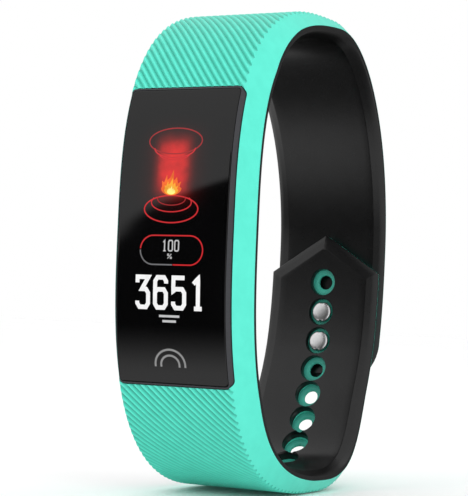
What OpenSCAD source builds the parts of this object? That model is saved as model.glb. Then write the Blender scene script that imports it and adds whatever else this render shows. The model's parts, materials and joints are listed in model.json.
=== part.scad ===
// Fitness tracker band: a buckled silicone wrist band with a slim display pod.
// X runs across the band, -Y is the way the display faces, +Z is up along the display.
// The origin is on the wrist's axis. Lengths are in millimetres.

/* [Ring outline] */
// Distance from the wrist axis to the display face
front_depth = 29.2; // [28.8:0.1:29.6]
// Distance from the wrist axis to the clasp's outer face
back_depth = 21; // [20.6:0.1:21.4]
// Height of the ring above the wrist axis
top_height = 31.5; // [31.2:0.1:31.8]
// Height of the ring below the wrist axis
bottom_height = 34.9; // [34.6:0.1:35.2]
// How square the front half is, where 2 is an ellipse
front_square = 2.9; // [2.8:0.05:3]
// How square the upper back quarter is
upper_square = 2; // [2:0.05:2.1]
// How square the lower back quarter is
lower_square = 2.4; // [2.3:0.05:2.5]

/* [Band] */
// Width of the band at the display
band_w = 20.6; // [20.5:0.1:20.8]
// Width of the band at the clasp
clasp_w = 17.5; // [17.2:0.1:18]
// Width of each sloping side of the outer layer at the display
side_slope = 2.05; // [2:0.05:2.1]
// Width of each sloping side of the outer layer at the clasp
clasp_slope = 1; // [0.9:0.05:1.1]
// Width of each bevel on the inner layer
inner_bevel = 1.7; // [1.5:0.1:1.8]
// Arc from the display's middle to the clasp arm's end
clasp_end = 114; // [113.8:0.1:114.1]
// Arc from the display's middle to the tongue's point
tongue_tip = 101.9; // [101.6:0.1:102.2]
// Rise of the tongue's point above its shoulders
point_rise = 5.9; // [5.7:0.1:6.1]
// Corner radius of the clasp arm's end
end_r = 6.8; // [6.6:0.1:7]

/* [Flexing places] */
// Arc from the display's middle to the clasp arm's first bend
bend_1 = 66; // [65:0.5:67]
// Arc from the display's middle to the clasp arm's second bend
bend_2 = 85.5; // [85:0.5:86]
// Arc from the display's middle to the tongue arm's bend
bend_3 = 56; // [55:0.5:57]

/* [Clasp] */
// Arc from the display's middle to the tongue's first hole
hole_start = 94.5; // [94.3:0.1:94.7]
// Arc from one hole to the next
hole_pitch = 4.75; // [4.7:0.01:4.8]
// Number of holes in the tongue
hole_count = 8; // [6:1:8]
// Radius of a hole in the inner layer
hole_r = 1.95; // [1.9:0.01:2]
// Radius of a hole between its stretchy lips
lip_r = 1.15; // [1.1:0.01:1.2]
// Radius of a stud's shank
shank_r = 0.9; // [0.85:0.01:0.95]
// Radius of a stud's head
head_r = 1.38; // [1.3:0.01:1.4]

/* [Display pod] */
// Height of the pod's middle above the wrist axis
pod_mid = -0.9; // [-1:0.1:-0.8]
// Half the length of the lens, along the band
lens_half = 19.1; // [19:0.1:19.2]
// Half the width of the lens
lens_half_w = 8.05; // [8:0.01:8.1]
// Thickness of the lens
lens_t = 0.85; // [0.8:0.01:0.9]
// Half the length of the pod's frame
frame_half = 19.35; // [19.3:0.01:19.4]
// Half the width of the pod's frame
frame_half_w = 8.55; // [8.5:0.01:8.6]
// Depth of the chamfer on the frame's long edges (mm)
chamfer_drop = 0.76; // [0.7:0.01:0.8]
// Width of flat frame left between the lens and the chamfer (mm)
chamfer_gap = 0.05; // [0.04:0.01:0.06]
// Clearance between the pod and the band's pocket
pocket_gap = 0.08; // [0.06:0.01:0.1]
// Half the length of the raised skin plate
plate_half = 14.9; // [14.8:0.1:15]
// Half the width of the raised skin plate
plate_half_w = 5.6; // [5.4:0.1:5.7]

/* [Hidden] */
$fn = 48;
// Thickness of the band, and depth of the seam between its layers, against the arc
up_thick = [[24, 5.2], [50, 3], [78, 2.3], [89, 2]];
up_seam = [[24, 3.6], [36, 2.3], [50, 1.4], [78, 1.1], [89, 1.1]];
low_thick = [[24, 5.2], [50, 3.1], [70, 2.6], [84, 2]];
low_seam = [[24, 3.6], [50, 1.8], [70, 1.4], [84, 1.05]];
// The tongue passes inside the clasp arm, this far apart
layer_gap = 0.1;
dive_from = 62;
dive_len = 16;
// The arms are cut at the bends, this far apart
bend_gap = 0.1;
// Share of the inner layer's side that stands straight
side_share = 0.4;
// Stations along the band are this far apart
step = 2;
// Places of faces across the display pod, along Y
frame_back = -24.9;
gasket_t = 0.3;
case_top = frame_back + gasket_t;
case_back = -22.6;
plate_face = -20.6;
case_wall = 0.8;
// Half sizes of the pod's inner ledge, its case, and the band's cup around it
ledge_half = 18.4;
ledge_half_w = 7.6;
case_w = 8.35;
case_half = 18.8;
case_foot_w = 6.75;
case_foot_half = 17.2;
case_slope = (case_w - case_foot_w) / (case_back - case_top);
// The room for the case's sloping sides starts this far above them
room_lead = 0.2;
cup_w = 9.8;
cup_half = 22.7;
cup_wall = 0.7;
cup_front = -25.8;
cup_back = -21.6;
// The board, and what stands on it
board_y = -25;
board_t = 0.7;
screw_r = 0.4;
screws = [[-4.4, 13.2], [4.4, 13.2], [-4.4, -2], [4.4, -2]];
// The vibration motor
motor_z = -12.1;
motor_y = -23.5;
motor_r = 1.6;
// The charging pins and the pulse sensor
pin_x = 2.6;
pin_z = -6.6;
pin_r = 0.9;
window_r = 3;

// ---- the ring's outline ----

// One coordinate of a squared ellipse
function squareness(a) =
    cos(a) > 0 ? front_square : (sin(a) > 0 ? upper_square : lower_square);
function radius(a) =
    pow(pow(abs(cos(a)), squareness(a)) + pow(abs(sin(a)), squareness(a)), -1 / squareness(a));
function half_y(a) = cos(a) > 0 ? front_depth : back_depth;
function half_z(a) = sin(a) > 0 ? top_height : bottom_height;
// [y, z] at an angle, where 0 is the display and 90 the top
function outline(a) = [-half_y(a) * cos(a) * radius(a), half_z(a) * sin(a) * radius(a)];
// The outward direction there
function steep(a) =
    let (n = squareness(a) - 1)
    [-sign(cos(a)) * pow(abs(cos(a)), n) / half_y(a), sign(sin(a)) * pow(abs(sin(a)), n) / half_z(a)];
function outward(a) = steep(a) / norm(steep(a));

// Arc length from the display's middle, against the angle
reach = 225;
function arcs(way) =
    [for (a = 0, s = 0; a <= reach; s = s + norm(outline(way * (a + 1)) - outline(way * a)), a = a + 1)
        [s, a]];
up_arcs = arcs(1);
low_arcs = arcs(-1);
// The angle at an arc length, which is negative below the display
function angle(s) = s < 0 ? -lookup(-s, low_arcs) : lookup(s, up_arcs);
// A point across the band by x, at a depth below its outer face
function place(s, x, d) =
    let (a = angle(s), p = outline(a), n = outward(a)) [x, p[0] - n[0] * d, p[1] - n[1] * d];

// ---- the band's section ----

function smooth(t) = let (u = max(0, min(1, t))) u * u * (3 - 2 * u);
function thick(s) = lookup(abs(s), s < 0 ? low_thick : up_thick);
function seam(s) = lookup(abs(s), s < 0 ? low_seam : up_seam);
// How far the outer face lies below the outline
function dive(s) = s < 0 ? (thick(clasp_end) + layer_gap) * smooth((-s - dive_from) / dive_len) : 0;
function back_share(s) = (outline(angle(s))[0] + front_depth) / (front_depth + back_depth);
function half_w(s) = (band_w + (clasp_w - band_w) * back_share(s)) / 2;
function slope(s) = side_slope + (clasp_slope - side_slope) * back_share(s);
// Half width left at a distance from the end of an arm
function end_half_w(s, r) =
    s < 0 ? 0.3 + r * (half_w(s) - 0.3) / point_rise
    : (r > end_r ? half_w(s) : half_w(s) - end_r + sqrt(end_r * end_r - pow(end_r - r, 2)) + 0.01);
function from_end(s) = (s < 0 ? tongue_tip : clasp_end) - abs(s);
function limit(s, w, inset) = min(w, end_half_w(s, max(0, from_end(s) - inset)));

function outer_section(s) =
    let (o = dive(s), w = half_w(s), top = limit(s, w - slope(s), 0.4), low = limit(s, w, 0))
    [[-top, o], [top, o], [low, o + seam(s)], [-low, o + seam(s)]];
function liner_section(s) =
    let (o = dive(s), w = limit(s, half_w(s), 0), foot = limit(s, half_w(s) - inner_bevel, 0.9),
        side = o + seam(s) + side_share * (thick(s) - seam(s)))
    [[-w, o + seam(s)], [w, o + seam(s)], [w, side], [foot, o + thick(s)], [-foot, o + thick(s)],
        [-w, side]];

// Evenly spaced stations from one arc length to another
function stations(from, to) =
    let (n = ceil((to - from) / step)) [for (i = [0 : n]) from + (to - from) * i / n];

// A closed solid through one section at each station
module sweep(at, sections) {
    n = len(sections[0]);
    last = len(at) - 1;
    polyhedron(
        points = [for (i = [0 : last]) for (q = sections[i]) place(at[i], q[0], q[1])],
        faces = concat(
            [[for (j = [0 : n - 1]) j]],
            [for (i = [0 : last - 1]) for (j = [0 : n - 1]) let (k = (j + 1) % n)
                each [[i * n + j, (i + 1) * n + k, i * n + k],
                    [i * n + j, (i + 1) * n + j, (i + 1) * n + k]]],
            [[for (j = [0 : n - 1]) last * n + n - 1 - j]]));
}
module outer_strip(at) { sweep(at, [for (s = at) outer_section(s)]); }
module liner_strip(at) { sweep(at, [for (s = at) liner_section(s)]); }

root_at = stations(-bend_3 + bend_gap / 2, bend_1 - bend_gap / 2);
link_at = stations(bend_1 + bend_gap / 2, bend_2 - bend_gap / 2);
arm_at = concat(stations(bend_2 + bend_gap / 2, clasp_end - end_r),
    [for (i = [1 : 5]) clasp_end - end_r * (1 - sin(i * 18))]);
tongue_at = concat([-tongue_tip, -tongue_tip + 0.5, -tongue_tip + 1.2, -tongue_tip + 2.2,
    -tongue_tip + 3.3], stations(-tongue_tip + point_rise, -bend_3 - bend_gap / 2));

// A layer that follows the outline between two depths and two arc lengths, w either side of the middle
module layer(from, to, w, d0, d1) {
    at = stations(from, to);
    rotate([90, 0, 90]) translate([0, 0, -w]) linear_extrude(2 * w) polygon(concat(
        [for (s = at) let (q = place(s, 0, d0)) [q[1], q[2]]],
        [for (i = [len(at) - 1 : -1 : 0]) let (q = place(at[i], 0, d1)) [q[1], q[2]]]));
}
// A rounded bar through the pod's face, between two planes across Y
module bar(half_w, half_len, y0, y1, r = 1.2) {
    translate([0, y1, pod_mid]) rotate([90, 0, 0]) linear_extrude(y1 - y0) {
        square([2 * half_w, 2 * (half_len - r)], center = true);
        square([2 * (half_w - r), 2 * half_len], center = true);
        for (x = [-1, 1], z = [-1, 1]) translate([x * (half_w - r), z * (half_len - r)]) circle(r);
    }
}
// A trough with sloping sides and ends round the pod's middle, between two planes across Y
module trough(w0, l0, y0, w1, l1, y1) {
    translate([0, 0, pod_mid]) intersection() {
        translate([0, 0, -40]) linear_extrude(80)
            polygon([[-w0, y0], [w0, y0], [w1, y1], [-w1, y1]]);
        rotate([90, 0, 90]) translate([0, 0, -20]) linear_extrude(40)
            polygon([[y0, -l0], [y0, l0], [y1, l1], [y1, -l1]]);
    }
}
// A box in the pod, from its low corner to its high corner, with heights from the pod's middle
module block(low, high) { translate(low + [0, 0, pod_mid]) cube(high - low); }
// Turns +Z to point into the wrist at a place along the band
module inward_at(s, d) {
    n = outward(angle(s));
    translate(place(s, 0, d)) rotate([atan2(n[0], -n[1]), 0, 0]) children();
}
// Turns +Z to point along +Y, into the wrist from the pod, at a height from the pod's middle
module into_wrist(x, y, z) { translate([x, y, z + pod_mid]) rotate([-90, 0, 0]) children(); }

// ---- the band ----

// Room for the pod, larger than it by the pocket's clearance
module pod_room() {
    g = pocket_gap;
    bar(frame_half_w + g, frame_half + g, -40, case_top + g);
    wide = g + room_lead * case_slope;
    trough(case_w + wide, case_half + wide, case_top + g - room_lead, case_foot_w + g,
        case_foot_half + g, case_back + g);
    bar(plate_half_w + g, plate_half + g, case_back - 1, -15);
}
module band_outer() {
    color("turquoise") difference() {
        outer_strip(root_at);
        bar(frame_half_w + pocket_gap, frame_half + pocket_gap, -40, -15);
    }
}
module band_liner() {
    color([0.12, 0.12, 0.13]) difference() {
        union() {
            liner_strip(root_at);
            intersection() {
                trough(cup_w, cup_half, cup_front, case_foot_w + cup_wall, case_foot_half + cup_wall,
                    cup_back);
                layer(-30, 30, 12, seam(0) + 0.1, 9);
            }
        }
        pod_room();
    }
}
module upper_link_outer() { color("turquoise") outer_strip(link_at); }
module upper_link_liner() { color([0.12, 0.12, 0.13]) liner_strip(link_at); }

// ---- the clasp ----

// The studs sit in the tongue's second and third holes
stud_arcs = [for (i = [1, 2]) -hole_start + i * hole_pitch];
// The ring's whole arc, which takes a place on the tongue arm to the same place on the clasp arm
whole_arc = up_arcs[180][0] + low_arcs[180][0];
plate_deep = 1.1;
plate_t = 0.45;
plate_w = 8;
plate_len = 10.4;
stud_foot = plate_deep + plate_t;

module plate_solid() {
    inward_at(whole_arc + (stud_arcs[0] + stud_arcs[1]) / 2, plate_deep)
        translate([-plate_w / 2, -plate_len / 2, 0]) cube([plate_w, plate_len, plate_t]);
}
module clasp_arm_outer() {
    color("turquoise") difference() {
        outer_strip(arm_at);
        plate_solid();
    }
}
module clasp_arm_liner() {
    color([0.12, 0.12, 0.13]) difference() {
        liner_strip(arm_at);
        plate_solid();
        for (s = stud_arcs) inward_at(whole_arc + s, 0) cylinder(r = shank_r, h = 4);
    }
}
module clasp_plate() { color("silver") plate_solid(); }
module stud(s) {
    shank = thick(clasp_end) + layer_gap + seam(s) + 0.2 - stud_foot;
    inward_at(whole_arc + s, stud_foot) rotate_extrude() polygon([[0, 0], [shank_r, 0],
        [shank_r, shank], [head_r, shank + 0.15], [head_r, shank + 0.45], [head_r - 0.2, shank + 0.65],
        [0, shank + 0.7]]);
}
module clasp_studs() { color("silver") for (s = stud_arcs) stud(s); }

// ---- the tongue ----

hole_arcs = [for (i = [0 : hole_count - 1]) -hole_start + i * hole_pitch];
module holes(r) { for (s = hole_arcs) inward_at(s, -1) cylinder(r = r, h = 8); }
module tongue_outer() {
    color("turquoise") difference() {
        outer_strip(tongue_at);
        holes(hole_r);
    }
}
module tongue_liner() {
    color([0.12, 0.12, 0.13]) difference() {
        liner_strip(tongue_at);
        holes(hole_r);
    }
}
// Thin lips that hold a stud by its neck
lip_t = 0.5;
module lip(s) {
    inward_at(s, dive(s) + seam(s) - lip_t) difference() {
        cylinder(r = hole_r, h = lip_t);
        translate([0, 0, -1]) cylinder(r = lip_r, h = lip_t + 2);
    }
}
module hole_lips() { color("mediumturquoise") for (s = hole_arcs) lip(s); }

// ---- the display pod's shell ----

module lens() {
    color("black") intersection() {
        layer(-frame_half - 2, frame_half + 2, 12, 0, lens_t);
        bar(lens_half_w, lens_half, -40, -15);
    }
}
// How far the chamfer's cutting shape reaches out past the face
chamfer_over = 1;
// The frame's long edges are chamfered from its face, just outside the lens, down to this place along Y
chamfer_foot = -front_depth + chamfer_drop;
chamfer_top = -front_depth - chamfer_over;
chamfer_top_w = lens_half_w + chamfer_gap
    - (frame_half_w - lens_half_w - chamfer_gap) * (-front_depth - chamfer_top) / (chamfer_foot + front_depth);
module pod_frame() {
    color([0.25, 0.26, 0.28]) difference() {
        intersection() {
            bar(frame_half_w, frame_half, -40, frame_back);
            layer(-frame_half - 4, frame_half + 4, 12, 0, 9);
            linear_extrude(80, center = true) polygon([[-20, -20], [-frame_half_w, chamfer_foot],
                [-chamfer_top_w, chamfer_top], [chamfer_top_w, chamfer_top], [frame_half_w, chamfer_foot],
                [20, -20]]);
        }
        intersection() {
            layer(-frame_half - 4, frame_half + 4, 12, -2, lens_t);
            bar(lens_half_w + 0.02, lens_half + 0.02, -40, -15);
        }
        bar(ledge_half_w, ledge_half, -40, -15);
    }
}
module case_gasket() {
    color("dimgray") difference() {
        bar(frame_half_w - 0.2, frame_half - 0.2, frame_back, case_top);
        bar(ledge_half_w + 0.2, ledge_half + 0.2, frame_back - 1, case_top + 1);
    }
}
module rear_case() {
    color([0.2, 0.2, 0.21]) difference() {
        union() {
            trough(case_w, case_half, case_top, case_foot_w, case_foot_half, case_back);
            bar(plate_half_w, plate_half, case_back - 0.2, plate_face);
        }
        trough(ledge_half_w + 0.2, ledge_half + 0.2, case_top - 1, case_foot_w - case_wall,
            case_foot_half - case_wall, case_back - case_wall);
        bar(plate_half_w - case_wall, plate_half - case_wall, case_back - 2, plate_face - case_wall, 0.8);
        into_wrist(0, plate_face - 2, 0) cylinder(r = window_r, h = 3);
        for (x = [-pin_x, pin_x]) into_wrist(x, plate_face - 2, pin_z) cylinder(r = pin_r, h = 3);
    }
}
module sensor_window() {
    color([0.1, 0.05, 0.05]) into_wrist(0, plate_face - case_wall, 0)
        cylinder(r = window_r, h = case_wall);
}
module charge_pins() {
    color("gold") for (x = [-pin_x, pin_x]) into_wrist(x, plate_face - 1.6, pin_z)
        cylinder(r = pin_r, h = 1.6);
}

// ---- inside the pod ----

module display_panel() { color("darkslategray") layer(-8 + pod_mid, 17.8 + pod_mid, 6.4, 0.9, 1.7); }
module touch_film() { color("goldenrod") layer(-17 + pod_mid, -9 + pod_mid, 4, 0.9, 1.1); }
// Where a screw's boss starts, inside the bracket
function boss_y(z) = place(z + pod_mid, 0, 2.2)[1];
module display_bracket() {
    color("gray") difference() {
        union() {
            layer(-17.9 + pod_mid, 17.9 + pod_mid, 7.3, 1.8, 2.5);
            for (q = screws) into_wrist(q[0], boss_y(q[1]), q[1])
                cylinder(r = 0.8, h = board_y - boss_y(q[1]));
        }
        block([-3, -30, -7.6], [3, -20, -3.6]);
        for (q = screws) into_wrist(q[0], board_y - 1.2, q[1]) cylinder(r = screw_r, h = 3);
    }
}
module display_flex() { color("darkorange") block([-2.4, -27.4, -5.9], [2.4, board_y, -5.6]); }
module main_board() {
    color("darkgreen") difference() {
        block([-5.6, board_y, -6.2], [5.6, board_y + board_t, 15]);
        for (q = screws) into_wrist(q[0], board_y - 1, q[1]) cylinder(r = screw_r, h = 3);
    }
}
module processor_chip() {
    color([0.15, 0.15, 0.16]) block([-2, board_y - 0.7, 3], [2, board_y, 7]);
}
module board_chips() {
    color([0.2, 0.2, 0.22]) {
        block([2.8, board_y - 0.6, 0.4], [4.8, board_y, 2.4]);
        block([-4.6, board_y - 0.6, 2.6], [-2.6, board_y, 4.6]);
        block([-1.2, board_y - 0.5, -1.4], [1.2, board_y, 0.6]);
        block([2.6, board_y - 0.5, 8.4], [4.2, board_y, 10]);
    }
}
module radio_antenna() { color("white") block([-2.6, board_y - 0.5, 13.2], [2.6, board_y, 14.4]); }
module board_screws() {
    color("silver") for (q = screws) {
        into_wrist(q[0], board_y - 1.2, q[1]) cylinder(r = screw_r, h = 1.2 + board_t);
        into_wrist(q[0], board_y + board_t, q[1]) cylinder(r = 0.7, h = 0.35);
    }
}
module battery() { color("lightgray") block([-4.4, -23.8, 4], [4.4, -21.5, 13.4]); }
module battery_lead() { color("red") block([-1, board_y + board_t, 3.2], [1, -23.2, 4]); }

motor_from = -4.2;
motor_len = 5.2;
// Turns +Z to point along the motor's shaft, from a place across the band
module along_motor(x) { translate([x, motor_y, motor_z + pod_mid]) rotate([0, 90, 0]) children(); }
module motor_can() {
    color("silver") along_motor(motor_from) difference() {
        cylinder(r = motor_r, h = motor_len);
        translate([0, 0, motor_len - 1.5]) cylinder(r = 0.35, h = 2);
    }
}
module motor_shaft() {
    color("lightgray") along_motor(motor_from + motor_len - 1.4) cylinder(r = 0.3, h = 4.2);
}
module motor_weight() {
    color("dimgray") along_motor(motor_from + motor_len + 0.4)
        difference() {
            cylinder(r = 1.5, h = 2.2);
            translate([-3.5, -3, -1]) cube([3, 6, 4]);
            translate([0, 0, -1]) cylinder(r = 0.3, h = 4);
        }
}
module sensor_board() { color("seagreen") block([-3.6, -22.6, -3.4], [3.6, -22.2, 3.4]); }
module sensor_leds() {
    color("lime") for (z = [-1.9, 1.9]) block([-0.6, -22.2, z - 0.5], [0.6, -21.6, z + 0.5]);
}
module photodiode() { color("navy") block([-0.9, -22.2, -0.9], [0.9, -21.6, 0.9]); }

band_outer();
band_liner();
upper_link_outer();
upper_link_liner();
clasp_arm_outer();
clasp_arm_liner();
clasp_plate();
clasp_studs();
tongue_outer();
tongue_liner();
hole_lips();
lens();
pod_frame();
case_gasket();
rear_case();
display_panel();
touch_film();
display_bracket();
display_flex();
main_board();
processor_chip();
board_chips();
radio_antenna();
board_screws();
battery();
battery_lead();
motor_can();
motor_shaft();
motor_weight();
sensor_board();
sensor_leds();
photodiode();
sensor_window();
charge_pins();
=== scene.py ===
"""Looks for the fitness tracker band: fine silicone layers, glass, frame, display art and materials."""

import math
from functools import partial

import bmesh
import bpy
import numpy as np
from mathutils import Matrix, Vector
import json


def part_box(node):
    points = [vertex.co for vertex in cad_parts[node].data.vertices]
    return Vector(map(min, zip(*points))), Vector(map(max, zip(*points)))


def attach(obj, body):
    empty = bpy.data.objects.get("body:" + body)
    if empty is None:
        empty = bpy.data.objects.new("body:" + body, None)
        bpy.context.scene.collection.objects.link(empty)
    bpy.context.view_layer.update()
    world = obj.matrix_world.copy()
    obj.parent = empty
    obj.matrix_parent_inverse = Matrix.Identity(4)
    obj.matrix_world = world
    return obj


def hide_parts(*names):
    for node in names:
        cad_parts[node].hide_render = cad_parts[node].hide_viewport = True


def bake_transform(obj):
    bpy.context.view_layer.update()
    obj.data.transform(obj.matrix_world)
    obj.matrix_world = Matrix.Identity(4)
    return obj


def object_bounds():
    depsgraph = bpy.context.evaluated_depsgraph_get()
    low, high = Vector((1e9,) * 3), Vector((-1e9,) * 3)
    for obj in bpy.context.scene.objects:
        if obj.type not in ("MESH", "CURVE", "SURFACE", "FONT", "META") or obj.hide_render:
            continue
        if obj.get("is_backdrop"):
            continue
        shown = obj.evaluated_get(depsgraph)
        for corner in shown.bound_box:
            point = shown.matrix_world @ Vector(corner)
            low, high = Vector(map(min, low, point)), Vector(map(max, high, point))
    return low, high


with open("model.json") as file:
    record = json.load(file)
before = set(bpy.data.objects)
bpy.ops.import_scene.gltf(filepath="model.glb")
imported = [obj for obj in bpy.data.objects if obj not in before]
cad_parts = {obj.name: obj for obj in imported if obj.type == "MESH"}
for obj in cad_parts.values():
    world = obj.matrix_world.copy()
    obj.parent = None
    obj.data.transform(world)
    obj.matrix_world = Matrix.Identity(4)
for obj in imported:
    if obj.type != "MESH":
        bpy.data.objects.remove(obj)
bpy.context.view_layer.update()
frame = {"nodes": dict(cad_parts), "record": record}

MM = 0.001

# ---------------------------------------------------------------- the ring's outline, in millimetres
FRONT = -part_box("lens")[0].y / MM
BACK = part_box("clasp_arm_outer")[1].y / MM
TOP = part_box("band_outer")[1].z / MM
BOTTOM = -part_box("band_outer")[0].z / MM
FRONT_POWER, UPPER_POWER, LOWER_POWER = 2.9, 2.0, 2.4
BAND_W, CLASP_W = 20.6, 17.5
SLOPE_FRONT, SLOPE_CLASP = 2.05, 1.0
INNER_BEVEL = 1.7
SIDE_SHARE = 0.4
CLASP_END, TONGUE_TIP = 114.0, 101.9
POINT_RISE, END_R = 5.9, 6.8
TIP_HALF = 0.04
BEND_1, BEND_2, BEND_3 = 66.0, 85.5, 56.0
UP_THICK = ((24, 5.2), (50, 3), (78, 2.3), (89, 2))
UP_SEAM = ((24, 3.6), (36, 2.3), (50, 1.4), (78, 1.1), (89, 1.1))
LOW_THICK = ((24, 5.2), (50, 3.1), (70, 2.6), (84, 2))
LOW_SEAM = ((24, 3.6), (50, 1.8), (70, 1.4), (84, 1.05))
LAYER_GAP, DIVE_FROM, DIVE_LEN = 0.1, 62.0, 16.0
POD_MID = (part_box("lens")[0].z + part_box("lens")[1].z) / 2 / MM
POCKET_GAP = 0.08
FRAME_HALF_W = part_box("pod_frame")[1].x / MM
FRAME_HALF = (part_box("pod_frame")[1].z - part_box("pod_frame")[0].z) / 2 / MM
LENS_HALF_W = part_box("lens")[1].x / MM
LENS_HALF = (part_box("lens")[1].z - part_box("lens")[0].z) / 2 / MM
HOLE_ARCS = [-94.5 + 4.75 * i for i in range(8)]
HOLE_R, LIP_R, LIP_T = 1.95, 1.05, 0.5
RIB_PITCH = 1.03  # from rib to rib, straight across the band
RIB_SLOPE_UP, RIB_SLOPE_LOW = 1.26, 1.07  # how far a rib runs along the band for each step across
RIB_DEPTH = 0.34
PLAIN_END = 2.4  # the margin without ribs at the end of the clasp arm
FOOT_GAP = 0.006  # kept between the outer layer's foot and the inner layer
POINT_BLEND = 2.5  # behind the tongue's point, where the inner layer's rows even out


def outline(a):
    """[y, z] at an angle, where 0 is the display and a quarter turn the top."""
    a = np.asarray(a, float)
    c, s = np.cos(a), np.sin(a)
    n = np.where(c > 0, FRONT_POWER, np.where(s > 0, UPPER_POWER, LOWER_POWER))
    r = (np.abs(c) ** n + np.abs(s) ** n) ** (-1 / n)
    return np.stack([-np.where(c > 0, FRONT, BACK) * c * r, np.where(s > 0, TOP, BOTTOM) * s * r], -1)


def outward(a):
    """The outward direction there."""
    a = np.asarray(a, float)
    c, s = np.cos(a), np.sin(a)
    n = np.where(c > 0, FRONT_POWER, np.where(s > 0, UPPER_POWER, LOWER_POWER)) - 1
    v = np.stack(
        [
            -np.sign(c) * np.abs(c) ** n / np.where(c > 0, FRONT, BACK),
            np.sign(s) * np.abs(s) ** n / np.where(s > 0, TOP, BOTTOM),
        ],
        -1,
    )
    return v / np.linalg.norm(v, axis=-1, keepdims=True)


ANGLES = np.radians(np.linspace(0, 225, 4501))


def arc_table(way):
    p = outline(way * ANGLES)
    return np.concatenate([[0], np.cumsum(np.linalg.norm(np.diff(p, axis=0), axis=1))])


UP_ARCS, LOW_ARCS = arc_table(1), arc_table(-1)
WHOLE_ARC = float(np.interp(np.pi, ANGLES, UP_ARCS) + np.interp(np.pi, ANGLES, LOW_ARCS))


def angle(s):
    s = np.asarray(s, float)
    return np.where(s < 0, -np.interp(-s, LOW_ARCS, ANGLES), np.interp(s, UP_ARCS, ANGLES))


def place(s, x, d):
    """A point x across the band, at arc length s and depth d below the outline, in metres."""
    s, x, d = np.broadcast_arrays(np.asarray(s, float), np.asarray(x, float), np.asarray(d, float))
    a = angle(s)
    p, n = outline(a), outward(a)
    return np.stack([x, p[..., 0] - n[..., 0] * d, p[..., 1] - n[..., 1] * d], -1) * MM


def table(s, up, low):
    s = np.asarray(s, float)
    return np.where(
        s < 0,
        np.interp(-s, *zip(*low)),
        np.interp(s, *zip(*up)),
    )


def thick(s):
    return table(s, UP_THICK, LOW_THICK)


def seam(s):
    return table(s, UP_SEAM, LOW_SEAM)


def dive(s):
    """How far the tongue's outer face lies below the outline."""
    t = np.clip((-np.asarray(s, float) - DIVE_FROM) / DIVE_LEN, 0, 1)
    return (float(thick(CLASP_END)) + LAYER_GAP) * t * t * (3 - 2 * t)


def back_share(s):
    return (outline(angle(s))[..., 0] + FRONT) / (FRONT + BACK)


def half_w(s):
    return (BAND_W + (CLASP_W - BAND_W) * back_share(s)) / 2


def slope(s):
    return SLOPE_FRONT + (SLOPE_CLASP - SLOPE_FRONT) * back_share(s)


def end_half(s, inset):
    """Half width that an arm's end leaves at s, for an outline drawn in from the true one by inset."""
    s = np.asarray(s, float)
    wide = half_w(s)
    if (s < 0).all():
        tip = float(half_w(-TONGUE_TIP)) - TIP_HALF
        side = math.hypot(POINT_RISE, tip) / tip
        r = TONGUE_TIP + s - inset * side
        return np.where(r < 0, -1, TIP_HALF + np.maximum(r, 0) * (wide - TIP_HALF) / POINT_RISE)
    r = CLASP_END - inset - s
    corner = END_R - inset
    inside = np.clip(corner - r, 0, corner)
    return np.where(r < 0, -1, wide - inset - corner + np.sqrt(np.maximum(corner**2 - inside**2, 0)))


# ---------------------------------------------------------------- mesh building


def new_object(name, verts, faces, smooth=True, groove_shade_mask=None):
    mesh = bpy.data.meshes.new(name)
    mesh.from_pydata([tuple(v) for v in verts], [], faces)
    # a per-point mask that the outer silicone's painted groove shade reads
    if groove_shade_mask is not None:
        mesh.attributes.new("groove_shade_mask", "FLOAT", "POINT").data.foreach_set("value", groove_shade_mask)
    mesh.validate()
    obj = bpy.data.objects.new(name, mesh)
    bpy.context.scene.collection.objects.link(obj)
    bm = bmesh.new()
    bm.from_mesh(mesh)
    bmesh.ops.remove_doubles(bm, verts=bm.verts, dist=1e-7)
    bmesh.ops.dissolve_degenerate(bm, edges=bm.edges, dist=1e-7)
    bmesh.ops.recalc_face_normals(bm, faces=bm.faces)
    if bm.calc_volume() < 0:
        bmesh.ops.reverse_faces(bm, faces=bm.faces)
    bm.to_mesh(mesh)
    bm.free()
    if smooth:
        shade(obj)
    return obj


def shade(obj, degrees=35):
    obj.data.polygons.foreach_set("use_smooth", [True] * len(obj.data.polygons))
    obj.data.set_sharp_from_angle(angle=math.radians(degrees))
    obj.data.update()


def zip_chains(ids, along, one, two):
    """Triangles between two chains of places in ids, each chain in order of its positions along."""
    a, b = ([ids[k] for k in chain] for chain in (one, two))
    along_a, along_b = ([along[k] for k in chain] for chain in (one, two))
    faces, i, j = [], 0, 0
    while i < len(a) - 1 or j < len(b) - 1:
        if j == len(b) - 1 or (i < len(a) - 1 and along_a[i + 1] <= along_b[j + 1]):
            faces.append((a[i], a[i + 1], b[j]))
            i += 1
        else:
            faces.append((a[i], b[j + 1], b[j]))
            j += 1
    return faces


def boolean(obj, other, operation):
    mod = obj.modifiers.new("cut", "BOOLEAN")
    mod.operation, mod.object, mod.solver = operation, other, "MANIFOLD"
    dg = bpy.context.evaluated_depsgraph_get()
    mesh = bpy.data.meshes.new_from_object(obj.evaluated_get(dg))
    obj.modifiers.clear()
    obj.data = mesh
    bpy.data.objects.remove(other)


def round_axis(where, axis):
    """A function that gives the point at a radius, an angle and a height round that axis."""
    z = Vector(axis).normalized()
    x = Vector((1, 0, 0))
    y = z.cross(x)
    return lambda r, t, h: Vector(where) + (x * math.cos(t) * r + y * math.sin(t) * r + z * h) * MM


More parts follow.
